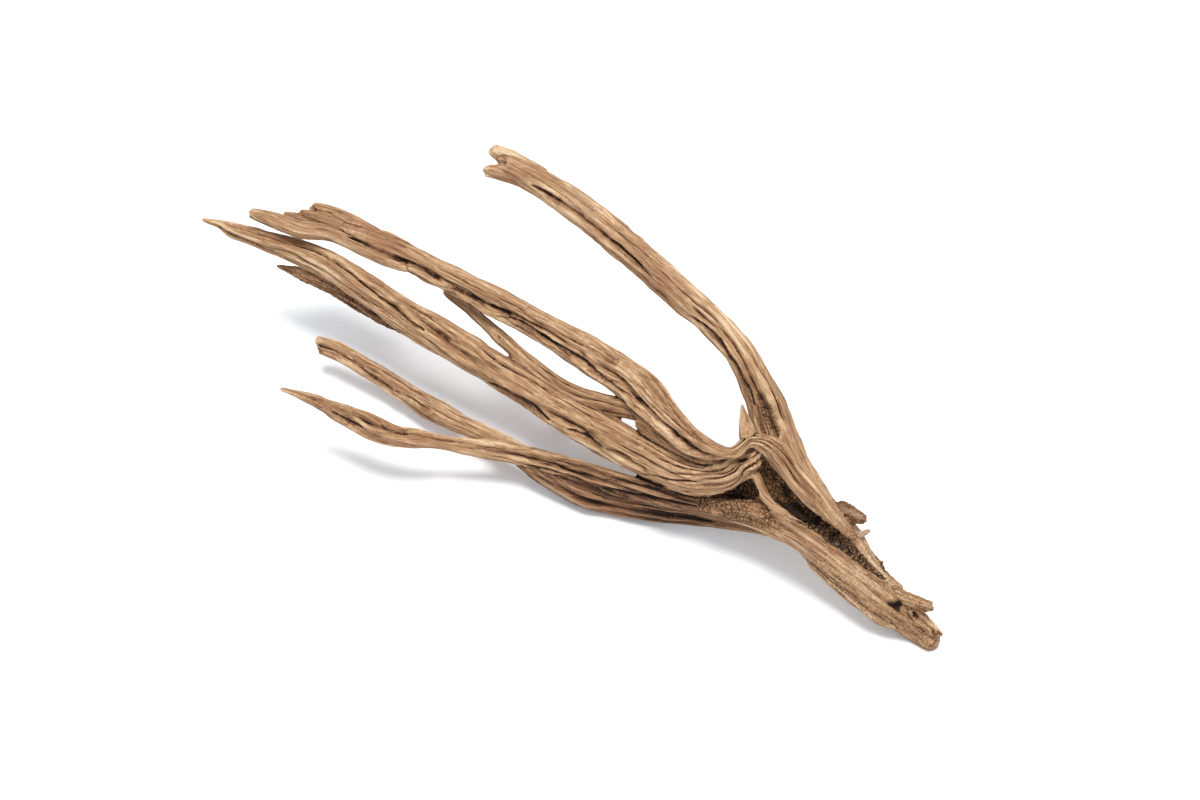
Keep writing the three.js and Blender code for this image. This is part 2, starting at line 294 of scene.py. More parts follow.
# How far each kind of limb is rotten and crumbled, from 0 for sound wood to 1.
ROT = {
    # The linings of the stem's hollow (hollow_back, hollow_floor, groove_back) are fully rotten. Their
    # charred dark is partly the heart's rot and partly painted shade in the holes.
    "heart": 0.9, "hollow_back": 1.0, "hollow_floor": 1.0, "shelf": 0.75, "under_bough": 0.35,
    "butt_prong": 0.35, "butt_knob": 0.5, "side_knob": 0.5, "side_thorn": 0.4, "stem_web": 0.35,
    "groove_back": 1.0,
}
# The same for the root of the low bough and for the crust on the butt.
CRUST_ROT = 0.42

# How much paler or darker than the rest a limb is: its own tone, and for the limbs that lie low or underneath
# others (the belly, its web, the under bough, the arch root), partly painted shade.
LIMB_TONE_AND_SHADE = {
    "tall_bough": 0.10, "tall_prong_upper": 0.14, "tall_prong_lower": 0.14, "short_bough": 0.04,
    "low_bough": -0.06, "belly": -0.28, "belly_web": -0.30, "under_bough": -0.22, "arch_root": -0.15,
    "side_knob": -0.30, "side_thorn": -0.25, "butt_knob": -0.12, "butt_prong": -0.08,
}

# Limbs whose outer end is buried among their prongs.
BURIED = {"arched_bough", "tall_bough"}

# Knots: (limb, distance along it, degrees round it, radius of the ring).
KNOTS = [
    ("arched_bough", 196, 8, 5.0),
    ("main_bough", 252, 30, 3.4),
    ("main_bough", 146, 48, 4.2),
    ("short_bough", 76, 44, 4.0),
    ("low_bough", 356, 60, 3.2),
    ("thin_bough", 126, 30, 1.8),
    ("tall_bough", 258, -40, 4.0),
    ("arched_bough", 250, -120, 4.5),
    ("main_bough", 120, -130, 5.0),
    ("low_bough", 90, -110, 4.5),
]


# Strands woven along every limb: (width, length, depth of the valleys, step between neighbours, seed), in mm.
STRANDS = [(6.0, 100.0, 2.2, 1.7, 61), (2.4, 60.0, 0.9, 0.5, 67)]
TWIST = 0.25  # degrees that the strands turn round a limb per mm
SWAY = 14  # degrees that they wander either way
WOOD_PER_LINE = 160  # length times radius, in mm, for each seeded line of relief

# Crumbled wood: (cell size, width of the cracks as a share of a cell, their depth, seed), in mm.
CRUMBS = [(3.4, 0.32, 1.1, 41), (1.7, 0.4, 0.4, 43)]
KNOT_STRETCH = 1.7  # a knot's rings are this much longer along the limb than across it
FILL_LIMIT = 4.0  # the most that a crease between limbs is filled, in mm


def hashed(x, y, z, seed):
    """A number from -1 to 1 for each whole (x, y, z): its bits multiplied and folded over each other."""
    n = (x * 374761393 + y * 668265263 + z * 1442695041 + seed * 1274126177) & 0xFFFFFFFF
    n = ((n ^ (n >> 13)) * 1274126177) & 0xFFFFFFFF
    return ((n ^ (n >> 16)) & 0xFFFF) / 32767.5 - 1.0


def noise(x, y, z, seed):
    """Value noise from -1 to 1: the eight hashed corners of each unit cell, blended by 3t^2 - 2t^3 on each
    axis."""
    x, y, z = np.broadcast_arrays(x, y, z)
    corner = [np.floor(v).astype(np.int64) for v in (x, y, z)]
    ease = [(v - c) ** 2 * (3 - 2 * (v - c)) for v, c in zip((x, y, z), corner)]
    total = 0.0
    for step in product((0, 1), repeat=3):
        share = [e if d else 1 - e for e, d in zip(ease, step)]
        value = hashed(*(c + d for c, d in zip(corner, step)), seed)
        total = total + share[0] * share[1] * share[2] * value
    return total


def layered(x, y, z, seed, octaves=3):
    """Sum of noise at doubling frequencies and halving weights."""
    return sum(noise(x * 2**k, y * 2**k, z * 2**k, seed + k) * 0.5**k for k in range(octaves))


def cells(x, y, z, seed):
    """Distance from each point to the edge of its cell: second nearest scattered centre minus the nearest."""
    home = [np.floor(v).astype(np.int64) for v in (x, y, z)]
    nearest = np.full(x.shape, 9.0)
    second = np.full(x.shape, 9.0)
    for step in product((-1, 0, 1), repeat=3):
        cell = [h + d for h, d in zip(home, step)]
        offset = [0.5 + 0.45 * hashed(*cell, seed + k) for k in range(3)]
        gap = np.sqrt(sum((c + o - v) ** 2 for c, o, v in zip(cell, offset, (x, y, z))))
        second = np.minimum(second, np.maximum(nearest, gap))
        nearest = np.minimum(nearest, gap)
    return second - nearest


def smooth(value, low, high):
    """0 below low, 1 above high, and 3t^2 - 2t^3 between."""
    t = np.clip((value - low) / (high - low), 0, 1)
    return t * t * (3 - 2 * t)


def curve_through(points, between=24):
    """Centripetal Catmull-Rom curve: cubic pieces whose knots are spaced by the square root of the chord."""
    first, last = 2 * points[0] - points[1], 2 * points[-1] - points[-2]
    p = np.concatenate([[first], points, [last]])
    chord = np.sqrt(np.maximum(np.linalg.norm(np.diff(p[:, :3], axis=0), axis=1), 1e-6))
    a, b, c = chord[:-2, None], chord[1:-1, None], chord[2:, None]
    p0, p1, p2, p3 = p[:-3], p[1:-2], p[2:-1], p[3:]
    leave = ((p1 - p0) / a - (p2 - p0) / (a + b) + (p2 - p1) / b) * b
    arrive = ((p2 - p1) / b - (p3 - p1) / (b + c) + (p3 - p2) / c) * b
    t = np.linspace(0, 1, between, endpoint=False)[None, :, None]
    p1, p2, leave, arrive = (v[:, None, :] for v in (p1, p2, leave, arrive))
    cubic = 2 * p1 - 2 * p2 + leave + arrive
    square = -3 * p1 + 3 * p2 - 2 * leave - arrive
    curve = (cubic * t**3 + square * t**2 + leave * t + p1).reshape(-1, points.shape[1])
    return np.concatenate([curve, points[-1:]])


class Limb:
    """A limb's centre line, resampled evenly, with its radius and its directions across: rise and side."""

    def __init__(self, name, index, step=0.8):
        self.name = name
        self.index = index
        fine = curve_through(np.array(LIMBS[name], float))
        steps = np.linalg.norm(np.diff(fine[:, :3], axis=0), axis=1)
        walked = np.concatenate([[0], np.cumsum(steps)])
        self.length = walked[-1]
        self.along = np.linspace(0, self.length, max(8, int(self.length / step)))
        even = np.stack([np.interp(self.along, walked, fine[:, k]) for k in range(4)], axis=1)
        self.centre, self.radius = even[:, :3], even[:, 3]
        slope = np.gradient(self.centre, axis=0)
        self.ahead = slope / np.linalg.norm(slope, axis=1)[:, None]
        upright = np.abs(self.ahead[:, 2]).mean() > 0.7
        up = np.array([1.0, 0, 0]) if upright else np.array([0, 0, 1.0])
        rise = up - self.ahead * (self.ahead @ up)[:, None]
        self.rise = rise / np.linalg.norm(rise, axis=1)[:, None]
        self.side = np.cross(self.rise, self.ahead)

    def random_lines(self, rng):
        """Seeded short grooves and low ridges all round the limb, a few for each finger's length of it."""
        lines = []
        for _ in range(int(self.length * self.radius.mean() / WOOD_PER_LINE)):
            start = rng.uniform(0, self.length * 0.8)
            length = rng.uniform(60, 170)
            angle = rng.uniform(-180, 180)
            drift = rng.uniform(-16, 16)
            stations = np.linspace(start, min(start + length, self.length - 2), 4)
            turns = angle + drift * np.linspace(0, 1, 4) + rng.uniform(-5, 5, 4)
            height = -rng.uniform(0.5, 1.5) if rng.random() < 0.75 else rng.uniform(0.4, 1.0)
            lines.append((height, rng.uniform(0.5, 1.0), list(zip(stations, turns))))
        return lines

    def relief(self, along, turn):
        """Sum over the lines of height * exp(-(distance across / half width)^2), faded at both ends."""
        radius = np.interp(along, self.along, self.radius)
        total = np.zeros(np.broadcast(along, turn).shape)
        for height, width, places in self.lines:
            stations, turns = np.array(places, float).T
            middle = np.interp(along, stations, turns)
            across = (turn - middle + 180) % 360 - 180
            sway = int(abs(stations[0])) + 3
            across = np.radians(across) * radius + 0.9 * layered(along / 16, 0.0, 0.0, sway, 2)
            height = height * (0.8 + 0.45 * noise(along / 13, 0.0, 0.0, sway + 40))
            ramp = min(14.0, (stations[-1] - stations[0]) / 3)
            begun = smooth(along, stations[0], stations[0] + ramp)
            fade = begun * (1 - smooth(along, stations[-1] - ramp, stations[-1]))
            total = total + height * np.exp(-((across / width) ** 2)) * fade
        return total

    def strands(self, along, turn):
        """Height in mm and tone of the woven strands. Coarse and fine noise, drawn out along the limb, change
        sign where one strand meets the next: height = sqrt(|noise|), and strands of one sign lie a little
        deeper."""
        spin = np.radians(turn + along * TWIST + SWAY * noise(along / 50, 0.0, 0.0, self.index + 90))
        size = self.radius.mean()
        height, tone = 0.0, 0.0
        for width, length, depth, step, seed in STRANDS:
            x = along / length
            y, z = np.cos(spin) * size / width, np.sin(spin) * size / width + 31 * self.index
            wave = noise(x, y, z, seed) + 0.25 * noise(2 * x, 2 * y, 2 * z, seed + 1)
            crest = np.minimum(np.sqrt(np.abs(wave) * 1.7), 1) - 0.75
            worn = 0.2 + 0.8 * smooth(noise(x * 2.2, y / 2.5, z / 2.5, seed + 5), -0.3, 0.3)
            height = height + worn * (depth * crest + step * smooth(wave, -0.25, 0.25) - step / 2)
            tone = tone + 0.5 * wave
        return height * min(1.0, size / 8), tone

    def end_shape(self, along, turn):
        """1 along the limb and 0 beyond its ends. Each strand of the outer wood breaks off at its own length;
        the core goes on a little and breaks too. The root is rounded, being buried in another limb."""
        spin = np.radians(turn)
        x, y = np.cos(spin), np.sin(spin)
        size = self.radius[-1]
        reach = 0.5 * size if self.name in BURIED else np.clip(2 * size, 2.5, 8)
        outer = self.length - reach * (0.45 + 0.55 * layered(x * 1.7, y * 1.7, self.index * 7.3, 5, 2))
        core = self.length - 0.5 * size * (1 + noise(x * 3, y * 3, self.index * 3.1, 6))
        edge = 0.5 + 0.12 * size
        shell = smooth(outer - along, -edge, edge)
        rest = 0.62 * smooth(core - along, 0, 0.9 * size + 0.5)
        begun = np.clip(along / (self.radius[0] * 0.5 + 0.2), 0, 1)
        return np.maximum(shell, rest) * smooth(self.length - along, 0, 0.6) * np.sqrt(begun)

    def surface(self):
        """centre + reach * (cos turn * rise + sin turn * side), reach = radius * (1 + lumps) * ends."""
        sides = max(14, int(2 * np.pi * self.radius.max() / 0.7))
        along = self.along[:, None]
        turn = np.linspace(-180, 180, sides, endpoint=False)[None, :]
        lumps = layered(along / 14, np.cos(np.radians(turn)), np.sin(np.radians(turn)) + self.index, 11)
        uneven = np.interp(self.radius, (1, 3, 7), (0.20, 0.16, 0.07))[:, None]
        ends = np.maximum(self.end_shape(along, turn), 0.02)
        reach = self.radius[:, None] * (1 + uneven * lumps) * ends
        spin = np.radians(turn)[..., None]
        out = np.cos(spin) * self.rise[:, None, :] + np.sin(spin) * self.side[:, None, :]
        return self.centre[:, None, :] + reach[..., None] * out


def tube(points):
    """Vertices and triangles of a closed tube, with a fan to the middle of each end ring."""
    rings, sides = points.shape[:2]
    middles = [points[0].mean(0)[None], points[-1].mean(0)[None]]
    vertices = np.concatenate([points.reshape(-1, 3), *middles])
    i, j = np.meshgrid(np.arange(rings - 1), np.arange(sides), indexing="ij")
    a, b = (i * sides + j).ravel(), (i * sides + (j + 1) % sides).ravel()
    c, d = a + sides, b + sides
    ring = np.arange(sides)
    following = (ring + 1) % sides
    last = (rings - 1) * sides
    first_cap = np.stack([np.full(sides, rings * sides), ring, following], 1)
    last_cap = np.stack([np.full(sides, rings * sides + 1), last + following, last + ring], 1)
    walls = np.concatenate([np.stack([a, c, b], 1), np.stack([b, c, d], 1)])
    return vertices, np.concatenate([walls, first_cap, last_cap])


def mesh_from(name, vertices, triangles):
    """A mesh of triangles, filled with whole arrays."""
    mesh = bpy.data.meshes.new(name)
    mesh.vertices.add(len(vertices))
    mesh.vertices.foreach_set("co", np.asarray(vertices, np.float32).ravel())
    mesh.loops.add(triangles.size)
    mesh.loops.foreach_set("vertex_index", triangles.astype(np.int32).ravel())
    mesh.polygons.add(len(triangles))
    mesh.polygons.foreach_set("loop_start", np.arange(0, triangles.size, 3, dtype=np.int32))
    mesh.update(calc_edges=True)
    mesh.validate()
    return mesh


def finished(piece, modifiers):
    """Applies these modifiers to the piece's mesh."""
    for kind, settings in modifiers:
        modifier = piece.modifiers.new(kind.title(), kind)
        for key, value in settings.items():
            setattr(modifier, key, value)
    graph = bpy.context.evaluated_depsgraph_get()
    mesh = bpy.data.meshes.new_from_object(piece.evaluated_get(graph))
    piece.modifiers.clear()
    old, piece.data = piece.data, mesh
    bpy.data.meshes.remove(old)


def array_of(collection, key, width, kind=np.float32):
    """One attribute of every item, as an array."""
    flat = np.empty(len(collection) * width, kind)
    collection.foreach_get(key, flat)
    return flat.reshape(-1, width) if width > 1 else flat


def nearest_limb(points, limbs):
    """For each point, the limb whose surface is closest, the place along it, the turn round it, the offsets
    up and out from its centre line, and its radius there. Points and limbs are compared slab by slab in X."""
    centre = np.concatenate([limb.centre[::2] for limb in limbs])
    radius = np.concatenate([limb.radius[::2] for limb in limbs])
    which = np.concatenate([np.full(len(limb.centre[::2]), k) for k, limb in enumerate(limbs)])
    ahead, rise, side, along = (
        np.concatenate([getattr(limb, key)[::2] for limb in limbs])
        for key in ("ahead", "rise", "side", "along")
    )
    found = np.zeros(len(points), np.int64)
    slab, margin = 6.0, 16.0
    for low in np.arange(points[:, 0].min() - 1, points[:, 0].max() + 1, slab):
        here = np.nonzero((points[:, 0] >= low) & (points[:, 0] < low + slab))[0]
        reached = (centre[:, 0] > low - margin) & (centre[:, 0] < low + slab + margin)
        near = np.nonzero(reached)[0]
        if len(here) == 0 or len(near) == 0:
            continue
        p, c = points[here].astype(np.float32), centre[near].astype(np.float32)
        squared = (p**2).sum(1)[:, None] + (c**2).sum(1)[None] - 2 * p @ c.T
        apart = np.sqrt(np.maximum(squared, 0))
        found[here] = near[np.argmin(apart - radius[near][None].astype(np.float32), axis=1)]
    offset = points - centre[found]
    place = along[found] + (offset * ahead[found]).sum(1)
    up, out = (offset * rise[found]).sum(1), (offset * side[found]).sum(1)
    return which[found], place, np.degrees(np.arctan2(out, up)), up, out, radius[found]


def strand_relief(limbs, which, along, turn):
    """The height of the strands and the relief lines at each point, in mm, and the strands' tone."""
    height, tone = np.zeros(len(which)), np.zeros(len(which))
    for k, limb in enumerate(limbs):
        mine = np.nonzero(which == k)[0]
        woven, tone[mine] = limb.strands(along[mine], turn[mine])
        size = np.interp(along[mine], limb.along, limb.radius)
        lined = limb.relief(along[mine], turn[mine])
        height[mine] = np.maximum(woven * np.minimum(1, size / 6) + lined, -0.6 * size)
    return height, tone


def smoothed(piece, rounds):
    """The mesh's points after this many rounds of smoothing, in mm."""
    modifier = piece.modifiers.new("Smooth", "SMOOTH")
    modifier.factor, modifier.iterations = 0.5, rounds
    graph = bpy.context.evaluated_depsgraph_get()
    points = array_of(piece.evaluated_get(graph).data.vertices, "co", 3) / MM
    piece.modifiers.remove(modifier)
    return points


def hollowness(piece, points, normals, rounds):
    """How far each point lies below its surroundings, which are the points smoothed again and again."""
    return ((smoothed(piece, rounds) - points) * normals).sum(1)


def carved(points):
    """How deep the carved hollows go at each point and how rotten they are: the sum over the routes of
    depth * exp(-far^2), and the greatest rot * exp(-(far / 1.4)^4), far being the distance / half width. A
    hollow narrows towards both its ends."""
    depth, rot = np.zeros(len(points)), np.zeros(len(points))
    for deep, rotten, route in CARVED:
        fine = curve_through(np.array(route, float), between=4)
        fine[:, 3] *= 0.3 + 0.7 * np.sqrt(np.abs(np.sin(np.pi * np.linspace(0, 1, len(fine)))))
        margin = 3 * fine[:, 3].max()
        inside = (points > fine[:, :3].min(0) - margin) & (points < fine[:, :3].max(0) + margin)
        near = np.nonzero(inside.all(1))[0]
        p, far = points[near], np.full(len(near), 9.0)
        for start, end in zip(fine[:-1], fine[1:]):
            ahead = end[:3] - start[:3]
            share = np.clip((p - start[:3]) @ ahead / (ahead @ ahead), 0, 1)
            gap = np.linalg.norm(p - start[:3] - share[:, None] * ahead, axis=1)
            far = np.minimum(far, gap / (start[3] + (end[3] - start[3]) * share))
        uneven = layered(*p.T / 7, 91, 2)
        far = far * (1 + 0.22 * uneven)
        depth[near] += deep * (0.85 - 0.3 * uneven) * np.exp(-(far**2))
        rot[near] = np.maximum(rot[near], rotten * np.exp(-((far / 1.4) ** 4)))
    return depth, rot


def place(mesh, points):
    """Puts the mesh's vertices at these points, given in mm."""
    mesh.vertices.foreach_set("co", (points * MM).astype(np.float32).ravel())


def rottenness(points, normals, which, along, decay):
    """How rotten each point is and how far it belongs to the crust on top of the butt, both from 0 to 1."""
    rot = np.array([ROT.get(name, 0.0) for name in LIMBS])[which]
    low = which == list(LIMBS).index("low_bough")
    rot = np.maximum(rot, CRUST_ROT * low * (1 - smooth(along, 50, 130)))
    bark = smooth(points[:, 0], *BUTT) * smooth(normals[:, 2], -0.3, 0.3)
    rot = np.maximum(np.maximum(rot, decay), CRUST_ROT * bark)
    return rot * (0.8 + 0.3 * noise(*points.T / 5, 5)), bark


def crumbled(points, rot):
    """Height of the crumbled wood in mm: coarse and fine cells parted by cracks, on low lumps. Sound wood has
    none."""
    height = np.zeros(len(points))
    rotten = np.nonzero(rot > 0.12)[0]
    p = points[rotten].T
    cracks, fine = (
        deep * (1 - smooth(cells(*p / size, seed), 0.0, width)) for size, width, deep, seed in CRUMBS
    )
    height[rotten] = -cracks - fine + 0.9 * noise(*p / 4, 45)
    return height


def knotted(which, along, turn, radius):
    """How near each point is to a knot, from 0 to 1, and the height of the knot's rings in mm: the sum of
    0.45 * cos(7.5 * far) * exp(-far) and a pit of 1.1 * exp(-(far / 0.3)^2), far being in ring radii."""
    knot, rings = np.zeros(len(which)), np.zeros(len(which))
    for name, middle, angle, size in KNOTS:
        mine = np.nonzero(which == list(LIMBS).index(name))[0]
        across = np.radians((turn[mine] - angle + 180) % 360 - 180) * radius[mine]
        far = np.sqrt(((along[mine] - middle) / KNOT_STRETCH) ** 2 + across**2) / size
        knot[mine] = np.maximum(knot[mine], np.exp(-(far**2) * 1.2))
        pit = 1.1 * np.exp(-((far / 0.3) ** 2))
        rings[mine] += np.where(far < 1.6, 0.45 * np.cos(far * 7.5) * np.exp(-far) - pit, 0)
    return knot, rings


def weathered(piece, limbs, shape):
    """Moves the dense mesh's points along their normals, by filled creases, carved hollows, grain, knots and
    crumbled cells, and stores what the finish needs: grain (along, up, out), hollow, rot, tone and knot."""
    mesh = piece.data
    points = array_of(mesh.vertices, "co", 3) / MM
    normals = array_of(mesh.vertex_normals, "vector", 3)
    scale = (VOXEL / shape.voxel / 1) ** 2
    stem = smooth(points[:, 0], *STEM)
    crease = np.maximum(hollowness(piece, points, normals, int(220 * scale)), 0)
    filled = np.minimum(crease * (0.4 + 0.6 * stem), FILL_LIMIT)
    place(mesh, points + normals * filled[:, None])
    points = smoothed(piece, 4)
    place(mesh, points)
    mesh.update()
    normals = array_of(mesh.vertex_normals, "vector", 3)

    which, along, turn, up, out, radius = nearest_limb(points, limbs)
    depth, decay = carved(points)
    relief, tone = strand_relief(limbs, which, along, turn)
    rot, bark = rottenness(points, normals, which, along, decay)
    lumps = crumbled(points, rot)
    knot, rings = knotted(which, along, turn, radius)
    drawn = along + 4 * noise(along / 30, up / 6, out / 6, 31)
    fibre = layered(drawn / 34, up / 1.9, out / 1.9, 21, 3)
    swell = layered(drawn / 30, up / 4.0, out / 4.0, 24, 2)
    sound = shape.grain_depth / MM * (fibre + 1.3 * swell) + relief * (1 - 0.5 * bark)
    moved = sound * (1 - 0.7 * np.clip(1.3 * rot, 0, 1)) + lumps * rot + rings - depth
    above = smooth(points[:, 2], 0.4, 2.5)
    points = points + normals * (moved * above)[:, None]
    points[:, 2] = np.maximum(points[:, 2], 0)
    place(mesh, points)
    mesh.update()

    normals = array_of(mesh.vertex_normals, "vector", 3)
    # hollow: how far each point lies below its surroundings, near and wide, plus the carved depth. The finish
    # darkens hollows by it as painted shade and dirt, and pales raised points as worn wood and painted
    # highlight.
    near = hollowness(piece, points, normals, max(2, int(10 * scale)))
    wide = hollowness(piece, points, normals, max(6, int(110 * scale)))
    hollow = np.clip(near / 0.30 + wide / 1.4, -2, 3) + (0.55 - 0.2 * decay) * depth
    # The darker limbs, and the stretch of the low bough beneath the main bough (sunken), are partly darker
    # wood and partly painted shade. This is stored with the strands' tone.
    shade = np.array([LIMB_TONE_AND_SHADE.get(name, 0.0) for name in LIMBS])[which]
    low = which == list(LIMBS).index("low_bough")
    sunken = smooth(along, 115, 145) * (1 - smooth(along, 230, 290))
    shade = shade * np.where(shade > 0, 1 - stem, 1) - 0.24 * low * sunken + 0.08 * bark
    store(mesh, "grain", np.stack([along + 700 * which, up, out], 1))
    store(mesh, "hollow", hollow)
    store(mesh, "rot", np.clip(rot, 0, 1))
    store(mesh, "tone", tone + shade / 0.16)
    store(mesh, "knot", knot)


def store(mesh, name, values):
    """A point attribute, with a number or a vector for each point."""
    kind, key = ("FLOAT_VECTOR", "vector") if values.ndim > 1 else ("FLOAT", "value")
    attribute = mesh.attributes.new(name, kind, "POINT")
    attribute.data.foreach_set(key, values.astype(np.float32).ravel())


def grown(shape):
    """The whole piece: every limb's tube, joined by a voxel remesh, weathered, and thinned to its budget."""
    rng = np.random.default_rng(shape.seed)
    limbs = [Limb(name, k) for k, name in enumerate(LIMBS)]
    vertices, triangles, count = [], [], 0
    for limb in limbs:
        limb.lines = RELIEF.get(limb.name, []) + limb.random_lines(rng)
        v, t = tube(limb.surface())
        vertices.append(v)
        triangles.append(t + count)
        count += len(v)
    mesh = mesh_from("wood", np.concatenate(vertices) * MM, np.concatenate(triangles))
    piece = bpy.data.objects.new("wood", mesh)
    bpy.context.collection.objects.link(piece)
    voxel = shape.voxel * 1
    finished(piece, [("REMESH", {"mode": "VOXEL", "voxel_size": voxel, "use_smooth_shade": True})])
    weathered(piece, limbs, shape)
    triangles_now = 2 * len(piece.data.polygons)
    ratio = min(1.0, shape.triangles / triangles_now)
    finished(piece, [("DECIMATE", {"ratio": ratio, "use_collapse_triangulate": True})])
    piece.data.shade_smooth()
    return piece


class Value:
    """A number socket in a finish's node tree, so that node maths reads as plain arithmetic."""

    def __init__(self, finish, socket):
        self.finish, self.socket = finish, socket

    def _maths(self, operation, left, right):
        node = self.finish.node("ShaderNodeMath", {"operation": operation}, {0: left, 1: right})
        return Value(self.finish, node.outputs[0])

    def __add__(self, other):
        return self._maths("ADD", self, other)

    def __mul__(self, other):
        return self._maths("MULTIPLY", self, other)

    def __sub__(self, other):
        return self._maths("SUBTRACT", self, other)

    def __rsub__(self, other):
        return self._maths("SUBTRACT", other, self)

    __radd__, __rmul__ = __add__, __mul__

    def band(self, low, high):
        """0 at low, 1 at high, eased and clamped; low may be above high."""
        settings = {"interpolation_type": "SMOOTHSTEP", "clamp": True}
        sockets = {"Value": self, "From Min": low, "From Max": high}
        node = self.finish.node("ShaderNodeMapRange", settings, sockets)
        return Value(self.finish, node.outputs[0])


class Finish:
    """A material and its node tree."""

    def __init__(self, name):
        self.material = bpy.data.materials.new(name)
        self.material.use_nodes = True
        self.tree = self.material.node_tree
        self.surface = self.tree.nodes["Principled BSDF"]

    def node(self, kind, settings=None, sockets=None):
        """A node of this type, with its settings and then its sockets' values or links."""
        node = self.tree.nodes.new(kind)
        for key, value in (settings or {}).items():
            if key == "stops":
                self._stops(node.color_ramp, value)
            else:
                setattr(node, key, value)
        for key, value in (sockets or {}).items():
            self.feed(node.inputs[key], value)
        return node

    def feed(self, socket, value):
        """Links a socket or a Value, or sets a plain value."""
        if isinstance(value, Value):
            value = value.socket
        if isinstance(value, bpy.types.NodeSocket):
            self.tree.links.new(value, socket)
        else:
            socket.default_value = value

    @staticmethod
    def _stops(ramp, stops):
        while len(ramp.elements) < len(stops):
            ramp.elements.new(0.5)
        for element, (position, colour) in zip(ramp.elements, stops):
            element.position = position
            element.color = (*colour, 1)

    def attribute(self, name, output="Fac"):
        """A point attribute, as a number or as a vector."""
        node = self.node("ShaderNodeAttribute", {"attribute_name": name})
        return Value(self, node.outputs["Fac"]) if output == "Fac" else node.outputs[output]

    def stretched(self, vector, scale):
        """The vector times a scale on each axis."""
        return self.node("ShaderNodeVectorMath", {"operation": "MULTIPLY"}, {0: vector, 1: scale}).outputs[0]

    def noise(self, vector, scale, detail=4.0, roughness=0.55, distortion=0.0):
        """A noise pattern, as a number around 0.5."""
        sockets = {"Vector": self.stretched(vector, scale), "Scale": 1.0, "Detail": detail}
        sockets |= {"Roughness": roughness, "Distortion": distortion}
        return Value(self, self.node("ShaderNodeTexNoise", {}, sockets).outputs[0])

    def mixed(self, share, first, second):
        """One colour giving way to another."""
        settings = {"data_type": "RGBA", "blend_type": "MIX"}
        return self.node("ShaderNodeMix", settings, {0: share, 6: first, 7: second}).outputs[2]


def wood_finish(colours):
    """Dry weathered wood: fine fibres along each limb, with reddish and grey patches, crumbled dark rot and
    ringed knots. The grooves and hollows are darkened to near black, partly dirt and partly painted shade,
    and raised points are paler, partly worn wood and partly painted highlight."""
    finish = Finish("weathered_wood")
    grain = finish.attribute("grain", "Vector")
    place = finish.node("ShaderNodeTexCoord").outputs["Object"]
    hollow, rot, tone, knot = (finish.attribute(name) for name in ("hollow", "rot", "tone", "knot"))

    fibres = finish.noise(grain, (0.035, 0.85, 0.85), detail=5.0, roughness=0.62, distortion=0.25)
    hairs = finish.noise(grain, (0.09, 3.4, 3.4), detail=3.0, roughness=0.6)
    streaks = finish.noise(grain, (0.012, 0.30, 0.30), detail=3.0)
    patches = finish.noise(place, (26.0, 26.0, 34.0), detail=3.0)
    drift = finish.noise(place, (11.0, 11.0, 16.0), detail=2.0)
    ticks = finish.noise(grain, (0.07, 1.4, 1.4), detail=4.0, roughness=0.7)

    # How light the wood is, 0 to 1: fibres and streaks first, then the strands, the hollows and the knots.
    # The hollows darken it as painted shade and dirt together, and raised points are paler as worn wood and
    # painted highlight together.
    light = 0.60 + 1.15 * (fibres - 0.5) + 1.05 * (hairs - 0.5) + 0.8 * (streaks - 0.5) + 0.4 * (drift - 0.5)
    light = light + 0.16 * tone - 0.42 * hollow.band(0.1, 1.5) - 0.34 * hollow.band(0.9, 2.6)
    light = light + 0.20 * hollow.band(0.0, -1.2) - 0.14 * knot
    places = {0.02: "groove", 0.26: "shade", 0.52: "body", 0.76: "ridge", 1.0: "bleached"}
    stops = [(place, getattr(colours, name)) for place, name in places.items()]
    ramp = finish.node("ShaderNodeValToRGB", {"stops": stops}, {0: light}).outputs[0]
    reddened = finish.mixed(patches.band(0.52, 0.72) * 0.55, ramp, (*colours.reddish, 1))
    silvered = drift.band(0.56, 0.70) * streaks.band(0.45, 0.65) * 0.45
    greyed = finish.mixed(silvered, reddened, (*colours.grey, 1))
    cracks = ticks.band(0.41, 0.32) * 0.75
    cracked = finish.mixed(cracks, greyed, (*colours.groove, 1))
    settings = {"feature": "DISTANCE_TO_EDGE"}
    crumbs = finish.node("ShaderNodeTexVoronoi", settings, {"Vector": place, "Scale": 420.0})
    crumb = Value(finish, crumbs.outputs["Distance"])
    specks = finish.noise(place, (1100.0, 1100.0, 1100.0), detail=3.0)
    seams = crumb.band(0.16, 0.02) * rot.band(0.4, 0.6)
    tawny = finish.mixed(rot.band(0.3, 0.6) * 0.5, greyed, (*colours.tawny, 1))
    crumbly = finish.mixed(seams * 0.8 + specks.band(0.47, 0.36) * 0.6, tawny, (*colours.groove, 1))
    crust = crumb.band(0.03, 0.22) * (0.35 + 0.65 * specks.band(0.35, 0.6))
    charred = finish.mixed(crust, (*colours.groove, 1), (*colours.rot, 1))
    softened = finish.mixed(rot.band(0.15, 0.5), cracked, crumbly)
    decayed = finish.mixed(rot.band(0.72, 1.0) * 0.9, softened, charred)
    # The deepest hollows go near black: painted shade.
    colour = finish.mixed(hollow.band(1.6, 3.4) * 0.85, decayed, (*colours.groove, 1))

    height = fibres * 0.6 + hairs * 0.35 + ticks * 0.5 + (crumb.band(0.0, 0.3) * 0.8 + specks) * rot
    bump = finish.node("ShaderNodeBump", {}, {"Strength": 0.8, "Distance": 0.0013, "Height": height})
    finish.feed(finish.surface.inputs["Base Color"], colour)
    finish.feed(finish.surface.inputs["Roughness"], 0.68 + 0.2 * hairs + 0.1 * rot)
    finish.feed(finish.surface.inputs["Normal"], bump.outputs[0])
    finish.feed(finish.surface.inputs["Specular IOR Level"], 0.28)
    return finish.material


